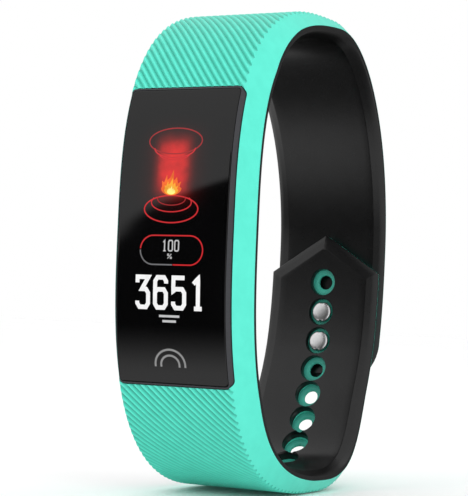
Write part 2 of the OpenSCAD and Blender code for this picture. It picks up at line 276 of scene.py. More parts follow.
def lathe(name, profile, where, axis, turn=64, reach=None):
    """A closed turned piece: profile is (radius, height) from its foot to its top, in mm, along axis.
    reach(angle, height) scales the radius."""
    at = round_axis(where, axis)
    verts, rows = [], []
    for r, h in profile:
        if r < 1e-6:
            rows.append([len(verts)] * turn)
            verts.append(at(0, 0, h))
            continue
        rows.append(list(range(len(verts), len(verts) + turn)))
        for k in range(turn):
            t = 2 * math.pi * k / turn
            verts.append(at(r * (reach(t, h) if reach else 1), t, h))
    faces = []
    for lo, hi in zip(rows, rows[1:]):
        for k in range(turn):
            face = (lo[k], lo[(k + 1) % turn], hi[(k + 1) % turn], hi[k])
            face = tuple(dict.fromkeys(face))
            if len(face) > 2:
                faces.append(face)
    for row, back in ((rows[0], True), (rows[-1], False)):
        if row[0] != row[1]:
            faces.append(tuple(reversed(row)) if back else tuple(row))
    return new_object(name, verts, faces)


def closed_lathe(name, profile, where, axis, turn=64):
    """A ring: profile is a closed loop of (radius, height)."""
    at, n = round_axis(where, axis), len(profile)
    verts = [at(r, 2 * math.pi * k / turn, h) for r, h in profile for k in range(turn)]
    faces = []
    for i in range(n):
        lo, hi = i * turn, (i + 1) % n * turn
        faces += [(lo + k, lo + (k + 1) % turn, hi + (k + 1) % turn, hi + k) for k in range(turn)]
    return new_object(name, verts, faces)


def rounded(half_x, half_z, r, per_corner=8):
    """A rounded rectangle's points, anticlockwise from the middle of its right side."""
    pts = []
    for cx, cz, start in ((1, 1, 0), (-1, 1, 90), (-1, -1, 180), (1, -1, 270)):
        for k in range(per_corner + 1):
            t = math.radians(start + 90 * k / per_corner)
            pts.append((cx * (half_x - r) + r * math.cos(t), cz * (half_z - r) + r * math.sin(t)))
    return pts


def dense(loop, step):
    """The same closed loop with its long straight sides cut up."""
    out = []
    for p, q in zip(loop, loop[1:] + loop[:1]):
        n = max(1, math.ceil(math.dist(p, q) / step))
        out += [(p[0] + (q[0] - p[0]) * k / n, p[1] + (q[1] - p[1]) * k / n) for k in range(n)]
    return out


def prism(name, loop, y0, y1):
    """A block with that outline in X and Z, from y0 to y1."""
    n = len(loop)
    verts = [Vector((x, y, z)) * MM for y in (y0, y1) for x, z in loop]
    faces = [(i, (i + 1) % n, n + (i + 1) % n, n + i) for i in range(n)]
    faces += [tuple(range(n)), tuple(range(2 * n - 1, n - 1, -1))]
    return new_object(name, verts, faces, smooth=False)


def wall(rows, n):
    """The faces between rows of n points, where each row is closed on itself."""
    return [
        (i * n + j, i * n + (j + 1) % n, (i + 1) * n + (j + 1) % n, (i + 1) * n + j)
        for i in range(rows - 1)
        for j in range(n)
    ]


def stack(name, rings, closed_ends=True):
    """A solid through rings of points that all have the same number."""
    n = len(rings[0])
    if any(len(ring) != n for ring in rings):
        raise ValueError(f"{name}: its rings have different numbers of points")
    verts = [p for ring in rings for p in ring]
    faces = wall(len(rings), n)
    if closed_ends:
        faces += [tuple(range(n - 1, -1, -1)), tuple(range((len(rings) - 1) * n, len(rings) * n))]
    else:
        last = (len(rings) - 1) * n
        faces += [(j, last + j, last + (j + 1) % n, (j + 1) % n) for j in range(n)]
    return new_object(name, verts, faces)


# ---------------------------------------------------------------- the ribbed outer layer


def side_limits(s0, s1, shares, half_fn):
    """For each column, where it starts and stops along the band."""
    fine = np.linspace(s0, s1, 2400)
    top = half_w(fine) - slope(fine)
    left = half_fn(fine)
    lo, hi = [], []
    for u in shares:
        ok = fine[left >= abs(u) * top - 1e-6]
        lo.append(ok.min())
        hi.append(ok.max())
    return np.array(lo), np.array(hi)


def outer_layer(name, s0, s1, slant, columns=44, per_rib=7, plain=None):
    """The outer silicone layer between two arc lengths. Its ribs are real ridges, and its sides slope."""
    tongue, clasp = s0 < -TONGUE_TIP + 1e-6, s1 > CLASP_END - 1e-6
    shares = np.linspace(-1, 1, columns + 1)
    if tongue or clasp:
        lo, hi = side_limits(s0, s1, shares, lambda s: end_half(s, SLOPE_CLASP))
    else:
        lo, hi = np.full(len(shares), s0), np.full(len(shares), s1)
    pitch = RIB_PITCH * slant
    step = pitch / per_rib
    reach = slant * (BAND_W / 2)
    phases = np.arange(math.floor((s0 - reach) / step), math.ceil((s1 + reach) / step) + 1) * step
    top_at = lambda s: half_w(s) - slope(s)
    verts, kept = [], []
    for j, u in enumerate(shares):
        s = phases.copy()
        for _ in range(4):
            s = phases - slant * u * top_at(np.clip(s, s0, s1))
        s = np.clip(s, lo[j], hi[j])
        x = u * top_at(s)
        t = (s + slant * x) / pitch
        deep = RIB_DEPTH * (0.5 + 0.5 * np.cos(2 * np.pi * t)) ** 1.4
        if plain is not None:
            deep = deep * plain(s, x)
        if j in (0, columns):  # the grooves run out through the sloping side
            x = x + np.sign(u) * deep * slope(s) / seam(s)
        kept.append((s, x, deep))
    grid, groove_shade_mask = [], []
    for s, x, deep in kept:
        grid.append(range(len(verts), len(verts) + len(s)))
        verts += list(place(s, x, dive(s) + deep))
        # how deep each point lies in its groove, kept as the mask for the painted shade in the grooves
        groove_shade_mask += list(deep / RIB_DEPTH)
    faces = []
    for a, b in zip(grid, grid[1:]):
        faces += [(a[i], a[i + 1], b[i + 1], b[i]) for i in range(len(a) - 1)]
    # the loop round the field, then rings of the side down to the seam
    n = len(phases)
    loop = [(0, i) for i in range(n)] + [(j, n - 1) for j in range(1, columns + 1)]
    loop += [(columns, i) for i in range(n - 2, -1, -1)] + [(j, 0) for j in range(columns - 1, 0, -1)]
    edge = np.array([[kept[j][1][i], kept[j][0][i], kept[j][2][i]] for j, i in loop])
    ids = [grid[j][i] for j, i in loop]
    keep = [0]
    for k in range(1, len(edge)):
        if np.abs(edge[k, :2] - edge[keep[-1], :2]).max() > 1e-5:
            keep.append(k)
    if np.abs(edge[keep[-1], :2] - edge[0, :2]).max() < 1e-5:
        keep.pop()
    edge, ids = edge[keep], [ids[k] for k in keep]
    s_in, x_in = edge[:, 1], edge[:, 0]
    none = np.zeros(len(edge), bool)
    cut0 = none if tongue else np.abs(s_in - s0) < 1e-4
    cut1 = none if clasp else np.abs(s_in - s1) < 1e-4
    sides = ~(cut0 | cut1)
    # how far each loop point moves outward to reach the seam's edge
    full_x, full_s = x_in.copy(), s_in.copy()
    half, near_end = half_w(s_in), none
    if clasp:
        near_end = s_in > CLASP_END - END_R
        cx = np.sign(x_in) * (half - END_R)
        cs = CLASP_END - END_R
        in_corner = near_end & (np.abs(x_in) > np.abs(cx))
        straight = near_end & ~in_corner
        vec = np.stack([x_in - cx, s_in - cs], -1)
        vec /= np.maximum(np.linalg.norm(vec, axis=1, keepdims=True), 1e-9)
        full_x[in_corner] = (cx + vec[:, 0] * END_R)[in_corner]
        full_s[in_corner] = (cs + vec[:, 1] * END_R)[in_corner]
        full_s[straight] = CLASP_END
    if tongue:
        near_end = s_in < -TONGUE_TIP + POINT_RISE + 1.2
        wide = float(half_w(-TONGUE_TIP + POINT_RISE))
        share = np.clip(np.abs(x_in) / (wide - SLOPE_CLASP), 0, 1)
        blunt = TIP_HALF * (1 - share) * (np.abs(x_in) > 0.05)
        full_x[near_end] = (np.sign(x_in) * (blunt + share * wide))[near_end]
        rise = np.clip((np.abs(full_x) - TIP_HALF) / (wide - TIP_HALF), 0, 1) * POINT_RISE
        full_s[near_end] = np.minimum((-TONGUE_TIP + rise), s_in)[near_end]
    plain_side = sides & ~near_end
    full_x[plain_side] = np.sign(x_in[plain_side]) * half[plain_side]
    ratio = np.clip(np.abs(x_in) / np.maximum(top_at(s_in), 1e-6), 0, 1)
    corner = ~sides & (ratio > 0.999)
    full_x[corner] = (np.sign(x_in) * half)[corner]
    moves = sides | corner
    start, foot = dive(s_in) + edge[:, 2], dive(full_s) + seam(full_s)
    # (share of the way out, share of the way down) for the slope, then a small rounded foot
    levels = [(0.012, 0.012), (0.05, 0.05), (0.35, 0.35), (0.7, 0.7)]
    levels += [(0.93, 0.915), (0.985, 0.96), (1.0, 0.985), (0.998, 1.0)]
    rings = [ids]
    for out, down in levels:
        x = np.where(moves, x_in + (full_x - x_in) * out, x_in)
        s = np.where(sides & near_end, s_in + (full_s - s_in) * out, s_in)
        rings.append(list(range(len(verts), len(verts) + len(edge))))
        verts += list(place(s, x, start + (foot - FOOT_GAP - start) * down))
        groove_shade_mask += [0.0] * len(edge)
    m = len(edge)
    for a, b in zip(rings, rings[1:]):
        faces += [(a[k], a[(k + 1) % m], b[(k + 1) % m], b[k]) for k in range(m)]
    # the hidden underside
    first = int(np.argmin(s))
    order = [(first + k) % m for k in range(m)]
    far = max(range(m), key=lambda k: s[order[k]])
    one, two = order[: far + 1], [order[0]] + order[far:][::-1]
    faces += zip_chains(rings[-1], s, one, two)
    return new_object(name, verts, faces, groove_shade_mask=groove_shade_mask)


def rib_border(s, x):
    """Ribs fade out at the end of the clasp arm, which has a plain margin."""
    return np.clip((CLASP_END - PLAIN_END - s) / 0.4, 0, 1)


# ---------------------------------------------------------------- the smooth inner layer


def inner_layer(name, s0, s1, step=0.7, columns=14):
    """The inner silicone layer between two arc lengths: flat sides, rounded bevels and a plain inner face."""
    tongue, clasp = s0 < -TONGUE_TIP + 1e-6, s1 > CLASP_END - 1e-6
    n = max(6, math.ceil((s1 - s0) / step))
    at = np.linspace(s0, s1, n + 1)
    if tongue:
        rise = np.array([0, 0.05, 0.13, 0.25, 0.4, 0.56, 0.74, 0.89, 0.97, 1.0]) * POINT_RISE - TONGUE_TIP
        straight_from = -TONGUE_TIP + POINT_RISE + 0.5
        at = np.concatenate([rise, np.linspace(straight_from, s1, math.ceil((s1 - straight_from) / step))])
    if clasp:
        curve = CLASP_END - END_R * (1 - np.sin(np.radians(np.linspace(0, 90, 12))))
        straight = np.linspace(s0, CLASP_END - END_R - 0.6, math.ceil((s1 - s0 - END_R) / step))
        at = np.concatenate([straight, curve])
    # section: share of the bevel taken off, and share of the way from the seam to the inner face
    section = [(0, 0.0), (0, 0.03), (0, SIDE_SHARE - 0.07), (0.02, SIDE_SHARE), (0.06, SIDE_SHARE + 0.06)]
    section += [(0.5, 0.71), (0.93, 0.965), (0.975, 0.99), (1.04, 1.0)]
    verts, rows = [], []
    for s in at:
        w = float(half_w(s))
        row = []
        top, deep = float(dive(s) + seam(s)), float(thick(s) - seam(s))
        for off, down in section:
            inset = off * INNER_BEVEL
            here, half = s, w - inset
            if tongue and s < -TONGUE_TIP + POINT_RISE + POINT_BLEND:
                tip = w - TIP_HALF
                start = -TONGUE_TIP + inset * (math.hypot(POINT_RISE, tip) / tip)
                reach = POINT_RISE * (w - inset - TIP_HALF) / tip
                # spread the rows of the point evenly, so that the bevel follows its edges
                if s < -TONGUE_TIP + POINT_RISE + 1e-6:
                    t = (s + TONGUE_TIP) / POINT_RISE
                    here, half = start + t * reach, TIP_HALF + t * (w - inset - TIP_HALF)
                else:
                    t = (s + TONGUE_TIP - POINT_RISE) / POINT_BLEND
                    here = start + reach + t * (-TONGUE_TIP + POINT_RISE + POINT_BLEND - start - reach)
            if clasp and s > CLASP_END - END_R - 1e-6:
                t = math.asin(min(1.0, (s - CLASP_END + END_R) / END_R))
                corner = END_R - inset
                here = CLASP_END - END_R + corner * math.sin(t)
                half = w - END_R + corner * math.cos(t)
            row.append((half, here, top + deep * down))
        rows.append(row)
    k = len(section)
    inner = [2 * c / columns - 1 for c in range(1, columns)]
    width = 2 * k + len(inner) + (columns - 1)
    for row in rows:
        right = [place(s, x, d) for x, s, d in row]
        left = [place(s, -x, d) for x, s, d in row]
        x, s, d = row[-1]
        across = [place(s, -u * x, d) for u in inner]
        x0, s_top, d0 = row[0]
        over = [place(s_top, u * x0, d0) for u in inner]
        verts += right + across + left[::-1] + over
    faces = wall(len(rows), width)
    # flat ends, as strips between the hidden face and the rest
    for i in (0, len(rows) - 1):
        ring = [i * width + j for j in range(width)]
        faces.append(tuple(ring) if i else tuple(reversed(ring)))
    return new_object(name, verts, faces)


# ---------------------------------------------------------------- materials


def put(node, **values):
    """Sets a node's sockets by name, with _ for each space."""
    for key, value in values.items():
        node.inputs[key.replace("_", " ")].default_value = value


def material(name, base, rough, build=None, **sockets):
    """A Principled material; build(nodes, links, shader) adds its procedural detail."""
    mat = bpy.data.materials.new(name)
    mat.use_nodes = True
    nodes, links = mat.node_tree.nodes, mat.node_tree.links
    shader = nodes["Principled BSDF"]
    put(shader, Base_Color=(*base, 1), Roughness=rough, **sockets)
    if build:
        build(nodes, links, shader)
    return mat


def noise(nodes, links, scale, detail=3.0, rough=0.5, vector=None):
    coords = nodes.new("ShaderNodeTexCoord")
    n = nodes.new("ShaderNodeTexNoise")
    put(n, Scale=scale, Detail=detail, Roughness=rough)
    links.new(vector or coords.outputs["Object"], n.inputs["Vector"])
    return n.outputs["Fac"]


def ramp(nodes, links, value, stops):
    r = nodes.new("ShaderNodeValToRGB")
    while len(r.color_ramp.elements) < len(stops):
        r.color_ramp.elements.new(0.5)
    for e, (at, colour) in zip(r.color_ramp.elements, stops):
        e.position = at
        e.color = (*colour, 1) if len(colour) == 3 else colour
    links.new(value, r.inputs["Fac"])
    return r.outputs["Color"]


def scaled(nodes, links, value, low, high):
    m = nodes.new("ShaderNodeMapRange")
    put(m, To_Min=low, To_Max=high)
    links.new(value, m.inputs["Value"])
    return m.outputs["Result"]


def math_node(nodes, links, kind, a, b=None):
    m = nodes.new("ShaderNodeMath")
    m.operation = kind
    for socket, v in zip(m.inputs, (a, b)):
        if isinstance(v, (int, float)):
            socket.default_value = v
        elif v is not None:
            links.new(v, socket)
    return m.outputs[0]


def fade(nodes, links, value, start, stop):
    """0 up to start, 1 from stop on, and smooth between them."""
    m = nodes.new("ShaderNodeMapRange")
    m.interpolation_type = "SMOOTHSTEP"
    put(m, From_Min=start, From_Max=stop)
    links.new(value, m.inputs["Value"])
    return m.outputs["Result"]


def bump(nodes, links, shader, value, strength, distance):
    b = nodes.new("ShaderNodeBump")
    put(b, Strength=strength, Distance=distance)
    links.new(value, b.inputs["Height"])
    links.new(b.outputs["Normal"], shader.inputs["Normal"])


def grained(dark, light, grain, size, rough_low, rough_high, depth, groove_painted_shade=0.0):
    """Mottled colour, grain in the bump and a little change of gloss. Painted shade darkens the colour in the
    grooves, by their depth.
    """

    def build(nodes, links, shader):
        broad = noise(nodes, links, grain * 0.12, 2.0)
        colour = ramp(nodes, links, broad, [(0.3, dark), (0.7, light)])
        if groove_painted_shade:
            # painted shade: the colour is mixed towards a darker teal where the grooves are deep
            attr = nodes.new("ShaderNodeAttribute")
            attr.attribute_name = "groove_shade_mask"
            mix = nodes.new("ShaderNodeMix")
            mix.data_type = "RGBA"
            links.new(scaled(nodes, links, attr.outputs["Fac"], 0.0, groove_painted_shade), mix.inputs["Factor"])
            links.new(colour, mix.inputs["A"])
            mix.inputs["B"].default_value = (dark[0] * 0.4, dark[1] * 0.4, dark[2] * 0.4, 1)
            colour = mix.outputs["Result"]
        links.new(colour, shader.inputs["Base Color"])
        fine = noise(nodes, links, grain, 4.0, 0.6)
        links.new(scaled(nodes, links, fine, rough_low, rough_high), shader.inputs["Roughness"])
        bump(nodes, links, shader, fine, size, depth)

    return build


def brushed(dark, light, across, rough_low, rough_high, marks=0.12):
    """Fine scratches that run one way."""

    def build(nodes, links, shader):
        coords = nodes.new("ShaderNodeTexCoord")
        mapping = nodes.new("ShaderNodeMapping")
        put(mapping, Scale=across)
        links.new(coords.outputs["Object"], mapping.inputs["Vector"])
        fine = noise(nodes, links, 1.0, 5.0, 0.65, mapping.outputs["Vector"])
        links.new(ramp(nodes, links, fine, [(0.25, dark), (0.75, light)]), shader.inputs["Base Color"])
        links.new(scaled(nodes, links, fine, rough_low, rough_high), shader.inputs["Roughness"])
        bump(nodes, links, shader, fine, marks, 0.00002)

    return build


TEAL_DARK, TEAL_LIGHT = (0.078, 0.70, 0.545), (0.088, 0.74, 0.58)
MATS = {}


def look(name, *values, **sockets):
    """Makes one of the materials that the pieces share."""
    MATS[name] = material(name, *values, **sockets)


# the last number given to grained here is the strength of the painted shade in the rib grooves
look(
    "outer_silicone", TEAL_LIGHT, 0.5,
    grained(TEAL_DARK, TEAL_LIGHT, 5200, 0.12, 0.42, 0.56, 0.00003, 0.6),
    Specular_IOR_Level=0.35, Sheen_Weight=0.12, Sheen_Roughness=0.5,
)
# painted shade: the lips are the outer layer's teal silicone, in a darker copy of its colour for the shade
# inside the holes
look(
    "lip_silicone", (0.05, 0.42, 0.32), 0.5,
    grained((0.045, 0.38, 0.29), (0.055, 0.46, 0.35), 4200, 0.12, 0.4, 0.55, 0.00003),
    Specular_IOR_Level=0.35,
)
look(
    "inner_silicone", (0.012, 0.012, 0.013), 0.42,
    grained((0.003, 0.003, 0.0032), (0.0045, 0.0045, 0.0048), 4200, 0.12, 0.24, 0.34, 0.00002),
    Specular_IOR_Level=0.55,
)
look(
    "frame_metal", (0.045, 0.046, 0.052), 0.34,
    brushed((0.040, 0.041, 0.046), (0.058, 0.059, 0.066), (900, 900, 9000), 0.28, 0.42),
    Metallic=0.55, Coat_Weight=0.15,
)
look(
    "clasp_steel", (0.88, 0.88, 0.88), 0.3,
    brushed((0.86, 0.86, 0.87), (0.92, 0.92, 0.92), (3000, 3000, 3000), 0.28, 0.36, 0.02),
    Metallic=1.0,
)
look(
    "case_plastic", (0.02, 0.02, 0.022), 0.45,
    grained((0.016, 0.016, 0.018), (0.026, 0.026, 0.028), 9000, 0.5, 0.38, 0.6, 0.00004),
)
look(
    "gasket_rubber", (0.03, 0.03, 0.03), 0.6,
    grained((0.024, 0.024, 0.024), (0.04, 0.04, 0.04), 3000, 0.3, 0.5, 0.7, 0.00004),
)
look(
    "panel_glass", (0.01, 0.01, 0.014), 0.1,
    grained((0.008, 0.008, 0.012), (0.014, 0.014, 0.02), 2500, 0.05, 0.06, 0.14, 0.00001),
)
look(
    "copper_film", (0.6, 0.3, 0.12), 0.35,
    brushed((0.5, 0.24, 0.09), (0.68, 0.36, 0.16), (3000, 3000, 400), 0.28, 0.42),
    Metallic=0.7,
)
look(
    "bracket_plastic", (0.18, 0.18, 0.19), 0.5,
    grained((0.15, 0.15, 0.16), (0.21, 0.21, 0.22), 5000, 0.35, 0.45, 0.6, 0.00004),
)
look(
    "board_laminate", (0.01, 0.12, 0.045), 0.3,
    grained((0.008, 0.09, 0.032), (0.014, 0.16, 0.06), 3600, 0.2, 0.22, 0.36, 0.00002),
)
look(
    "chip_resin", (0.025, 0.025, 0.028), 0.5,
    grained((0.02, 0.02, 0.022), (0.034, 0.034, 0.037), 8000, 0.4, 0.45, 0.6, 0.00003),
)
look(
    "antenna_ceramic", (0.72, 0.7, 0.64), 0.35,
    grained((0.66, 0.64, 0.58), (0.78, 0.76, 0.7), 5000, 0.2, 0.28, 0.42, 0.00002),
)
look(
    "screw_steel", (0.6, 0.6, 0.62), 0.28,
    brushed((0.5, 0.5, 0.52), (0.7, 0.7, 0.72), (5000, 5000, 5000), 0.2, 0.36),
    Metallic=1.0,
)
look(
    "battery_foil", (0.6, 0.6, 0.62), 0.32,
    brushed((0.52, 0.52, 0.54), (0.68, 0.68, 0.7), (1200, 1200, 5000), 0.25, 0.4),
    Metallic=0.9,
)
look(
    "lead_plastic", (0.45, 0.02, 0.02), 0.35,
    grained((0.38, 0.015, 0.015), (0.5, 0.03, 0.03), 4000, 0.2, 0.3, 0.42, 0.00002),
)
look(
    "motor_steel", (0.55, 0.55, 0.57), 0.3,
    brushed((0.46, 0.46, 0.48), (0.62, 0.62, 0.64), (400, 6000, 6000), 0.22, 0.38),
    Metallic=1.0,
)
look(
    "weight_metal", (0.2, 0.2, 0.21), 0.45,
    grained((0.15, 0.15, 0.16), (0.25, 0.25, 0.26), 6000, 0.5, 0.38, 0.55, 0.00004),
    Metallic=0.85,
)
look(
    "led_resin", (0.1, 0.6, 0.2), 0.12,
    grained((0.08, 0.5, 0.16), (0.14, 0.7, 0.25), 3000, 0.1, 0.08, 0.18, 0.00001),
)
look(
    "diode_silicon", (0.03, 0.035, 0.12), 0.12,
    grained((0.02, 0.025, 0.09), (0.04, 0.05, 0.16), 3000, 0.1, 0.08, 0.18, 0.00001),
)
look(
    "window_resin", (0.02, 0.006, 0.006), 0.06,
    grained((0.015, 0.004, 0.004), (0.028, 0.009, 0.009), 1500, 0.05, 0.04, 0.09, 0.00001),
    Coat_Weight=0.6, Coat_Roughness=0.03,
)
look(
    "pin_gold", (0.8, 0.52, 0.18), 0.2,
    brushed((0.7, 0.44, 0.14), (0.86, 0.6, 0.24), (6000, 6000, 6000), 0.14, 0.26),
    Metallic=1.0,
)


def paint(obj, mat):
    obj.data.materials.clear()
    obj.data.materials.append(mat)
    return obj


node_slots = {p["node"]: p["material_slot"] for p in frame["record"]["subparts"]}
for node, obj in frame["nodes"].items():
    for k in range(max(1, len(obj.material_slots))):
        if not obj.material_slots:
            obj.data.materials.append(None)
        obj.material_slots[k].material = MATS.get(node_slots[node])

# ---------------------------------------------------------------- the band's silicone pieces

EDGE_CUT = {"low": -44.0, "up": 60.0, "link": 76.0}
MIDDLE = 12.0
pocket = [
    (x, z + POD_MID)
    for x, z in dense(rounded(FRAME_HALF_W + POCKET_GAP, FRAME_HALF + POCKET_GAP, 1.2 + POCKET_GAP), 2)
]


def point(s):
    return tuple(float(v) for v in place(s, 0, 1.0))


def inward(s):
    """The direction into the ring at s."""
    return (0, *(-outward(float(angle(s)))))


def through_holes(obj, tag):
    """The tongue's holes, with rounded mouths on the inner side."""
    for i, s in enumerate(HOLE_ARCS):
        deep = float(thick(s))
        mouth = [(HOLE_R, -(deep + 0.8)), (HOLE_R, -0.2), (HOLE_R + 0.03, -0.07)]
        mouth += [(HOLE_R + 0.08, 0.01), (HOLE_R + 0.1, 0.5)]
        face = place(s, 0, float(dive(s)) + deep)
        boolean(obj, lathe(f"{tag}_cut_{i}", mouth, face, inward(s)), "DIFFERENCE")
    shade(obj)


def bending(pieces, nodes, slot):
    """Paints a layer's three pieces beyond the front, hides the parts they replace and bakes their
    transforms.
    """
    for piece, node in zip(pieces, nodes):
        paint(piece, MATS[slot])
        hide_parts(node)
    upper, clasp, tongue = pieces
    point(EDGE_CUT["up"])
    point(BEND_1 + 6)
    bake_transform(upper)
    point(BEND_2 - 6)
    point(BEND_2 + 6)
    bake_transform(clasp)
    point(-BEND_3 + 9)
    point(-BEND_3 - 2)
    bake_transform(tongue)


# the front: rides on the band, with the pod's pocket cut through it
front_up = outer_layer("outer_front_upper", MIDDLE, EDGE_CUT["up"], RIB_SLOPE_UP)
front_low = outer_layer("outer_front_lower", EDGE_CUT["low"], -MIDDLE, RIB_SLOPE_LOW)
front_mid = outer_layer(
    "outer_front_middle", -MIDDLE, MIDDLE, RIB_SLOPE_UP, columns=12, per_rib=2, plain=lambda s, x: 0 * s
)
for piece in (front_up, front_low, front_mid):
    boolean(piece, prism(piece.name + "_cut", pocket, -40, -15), "DIFFERENCE")
    shade(piece)
    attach(paint(piece, MATS["outer_silicone"]), "band")
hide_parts("band_outer")

upper = outer_layer("outer_upper_bend", EDGE_CUT["up"], EDGE_CUT["link"], RIB_SLOPE_UP)
clasp = outer_layer("outer_clasp_arm", EDGE_CUT["link"], CLASP_END, RIB_SLOPE_UP, plain=rib_border)
tongue = outer_layer("outer_tongue", -TONGUE_TIP, EDGE_CUT["low"], RIB_SLOPE_LOW)
through_holes(tongue, "outer")
nodes = ("upper_link_outer", "clasp_arm_outer", "tongue_outer")
bending((upper, clasp, tongue), nodes, "outer_silicone")

# the inner layer, with the cup that holds the pod
liner = inner_layer("inner_front", EDGE_CUT["low"], EDGE_CUT["up"])
CUP_W, CUP_HALF, FOOT_W, FOOT_HALF = 9.6, 22.4, 7.45, 17.9
CUP_BACK, CUP_CORNER, CUP_DEPTH = -21.6, 3.0, 3.9
cup_loop = dense(rounded(CUP_W, CUP_HALF, CUP_CORNER, 6), 1.5)
CUP_ARCS = np.linspace(-28, 28, 113)
CUP_Z = outline(angle(CUP_ARCS))[:, 1]
rings = []
for share in (0.0, 0.12, 0.5, 0.86, 0.95, 0.99, 1.0):
    w = CUP_W + (FOOT_W - CUP_W) * min(share, 0.97) - max(0, share - 0.9) * 3
    l = CUP_HALF + (FOOT_HALF - CUP_HALF) * min(share, 0.97) - max(0, share - 0.9) * 3
    ring = []
    for x, z in cup_loop:
        x, z = x * w / CUP_W, z * l / CUP_HALF + POD_MID
        y_top = place(float(np.interp(z, CUP_Z, CUP_ARCS)), 0, CUP_DEPTH)[1] / MM
        ring.append(Vector((x, y_top + (CUP_BACK - y_top) * share, z)) * MM)
    rings.append(ring)
boolean(liner, stack("inner_cup", rings), "UNION")
CASE_TOP, CASE_BACK, CASE_W, CASE_HALF = -24.6, -22.6, 8.35, 18.8
CASE_FOOT_W, CASE_FOOT_HALF, PLATE_W, PLATE_HALF = 6.75, 17.2, 5.6, 14.9
boolean(liner, prism("room_bar", pocket, -40, CASE_TOP + POCKET_GAP), "DIFFERENCE")
ROOM_W, ROOM_HALF = CASE_W + 0.2, CASE_HALF + 0.2
case_loop = dense(rounded(ROOM_W, ROOM_HALF, 0.3, 3), 2)
room = []
for y, w, l in (
    (CASE_TOP - 0.2, ROOM_W, ROOM_HALF),
    (CASE_BACK + POCKET_GAP, CASE_FOOT_W + POCKET_GAP, CASE_FOOT_HALF + POCKET_GAP),
):
    w, l = w / ROOM_W, l / ROOM_HALF
    room.append([Vector((x * w, y, z * l + POD_MID)) * MM for x, z in case_loop])
boolean(liner, stack("room_case", room), "DIFFERENCE")
plate = [(x, z + POD_MID) for x, z in rounded(PLATE_W + POCKET_GAP, PLATE_HALF + POCKET_GAP, 1.2)]
boolean(liner, prism("room_plate", plate, CASE_BACK - 1, -15), "DIFFERENCE")
shade(liner)
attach(paint(liner, MATS["inner_silicone"]), "band")
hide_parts("band_liner")

inner_upper = inner_layer("inner_upper_bend", EDGE_CUT["up"], EDGE_CUT["link"])
inner_clasp = inner_layer("inner_clasp_arm", EDGE_CUT["link"], CLASP_END)
inner_tongue = inner_layer("inner_tongue", -TONGUE_TIP, EDGE_CUT["low"])
through_holes(inner_tongue, "inner")
nodes = ("upper_link_liner", "clasp_arm_liner", "tongue_liner")
bending((inner_upper, inner_clasp, inner_tongue), nodes, "inner_silicone")

# the lips in the tongue's holes
LIP_OUT = 0.25
for i, s in enumerate(HOLE_ARCS):
    where = place(s, 0, float(dive(s) + seam(s)) - LIP_T)
    loop = [(HOLE_R - 0.01, -LIP_OUT), (HOLE_R - 0.01, LIP_T), (HOLE_R - 0.3, LIP_T + 0.02)]
    loop += [(LIP_R + 0.22, LIP_T - 0.04), (LIP_R + 0.06, LIP_T - 0.14), (LIP_R, LIP_T * 0.5)]
    loop += [(LIP_R + 0.06, 0.14 - LIP_OUT), (LIP_R + 0.22, 0.04 - LIP_OUT)]
    lip = closed_lathe(f"hole_lip_{i + 1}", loop, where, inward(s))
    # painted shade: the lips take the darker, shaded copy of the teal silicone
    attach(paint(lip, MATS["lip_silicone"]), "tongue_arm")
    if i == 0:
        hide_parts("hole_lips")

# the studs, each a turned head on a neck, with two small flats
STUD_FOOT, SHANK_R, HEAD_R = 1.55, 0.9, 1.52
for i, s in enumerate([WHOLE_ARC + HOLE_ARCS[k] for k in (1, 2)]):
    shank = float(thick(CLASP_END)) + LAYER_GAP + float(seam(HOLE_ARCS[i + 1])) + 0.2 - STUD_FOOT
    profile = [(0, 0), (SHANK_R, 0), (SHANK_R, shank - 0.05), (SHANK_R + 0.1, shank)]
    profile += [(HEAD_R - 0.12, shank + 0.1), (HEAD_R - 0.04, shank + 0.2), (HEAD_R, shank + 0.3)]
    profile += [(HEAD_R - 0.02, shank + 0.42), (HEAD_R - 0.1, shank + 0.52), (HEAD_R - 0.27, shank + 0.6)]
    profile += [(0.85, shank + 0.66), (0.45, shank + 0.69), (0, shank + 0.7)]

    def notch(t, h, above=shank):
        if not above + 0.15 < h < above + 0.56:
            return 1
        return 1 - 0.14 * math.exp(-((math.cos(t) / 0.16) ** 4))

    stud = lathe(f"clasp_stud_{i + 1}", profile, place(s, 0, STUD_FOOT), inward(s), 96, notch)
    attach(paint(stud, MATS["clasp_steel"]), "clasp_arm")
    if i == 0:
        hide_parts("clasp_studs")

# ---------------------------------------------------------------- the pod's shell

FINE_ARCS = np.linspace(-24, 24, 481)
FINE_Z = outline(angle(FINE_ARCS))[:, 1]


def on_face(x, z, d):
    """A point of the display's face at depth d, in metres."""
    return Vector(place(float(np.interp(z, FINE_Z, FINE_ARCS)), x, d))


def offset_ring(base, d_in, d):
    """The points of a base ring, pulled in by d_in towards the middle, at depth d."""
    hx, hz, r = base
    loop = dense(rounded(hx, hz, r, 10), 0.7)
    return [on_face(x * (hx - d_in) / hx, z * (hz - d_in) / hz + POD_MID, d) for x, z in loop]


# the lens: a fine curved slab with softly rounded edges, as (how far in, how deep)
lens_base = (LENS_HALF_W - 0.02, LENS_HALF - 0.02, 0.5)
LENS_EDGE = ((0.0, 0.8), (0.0, 0.14), (0.02, 0.06), (0.07, 0.015), (0.14, 0.0), (0.2, 0.0), (0.5, 0.0))
lens_rings = [offset_ring(lens_base, d_in, d) for d_in, d in LENS_EDGE]


def slab(name, rings):
    """A stack whose two ends are ruled across X, so that they follow the outline's curve."""
    n = len(rings[0])
    verts = [p for ring in rings for p in ring]
    faces = wall(len(rings), n)
    for k in (0, len(rings) - 1):
        zs = [p.z for p in rings[k]]
        lo, hi = int(np.argmin(zs)), int(np.argmax(zs))
        one = [(lo + j) % n for j in range((hi - lo) % n + 1)]
        two = [(lo - j) % n for j in range((lo - hi) % n + 1)]
        faces += zip_chains(range(k * n, (k + 1) * n), zs, one, two)
    return new_object(name, verts, faces)


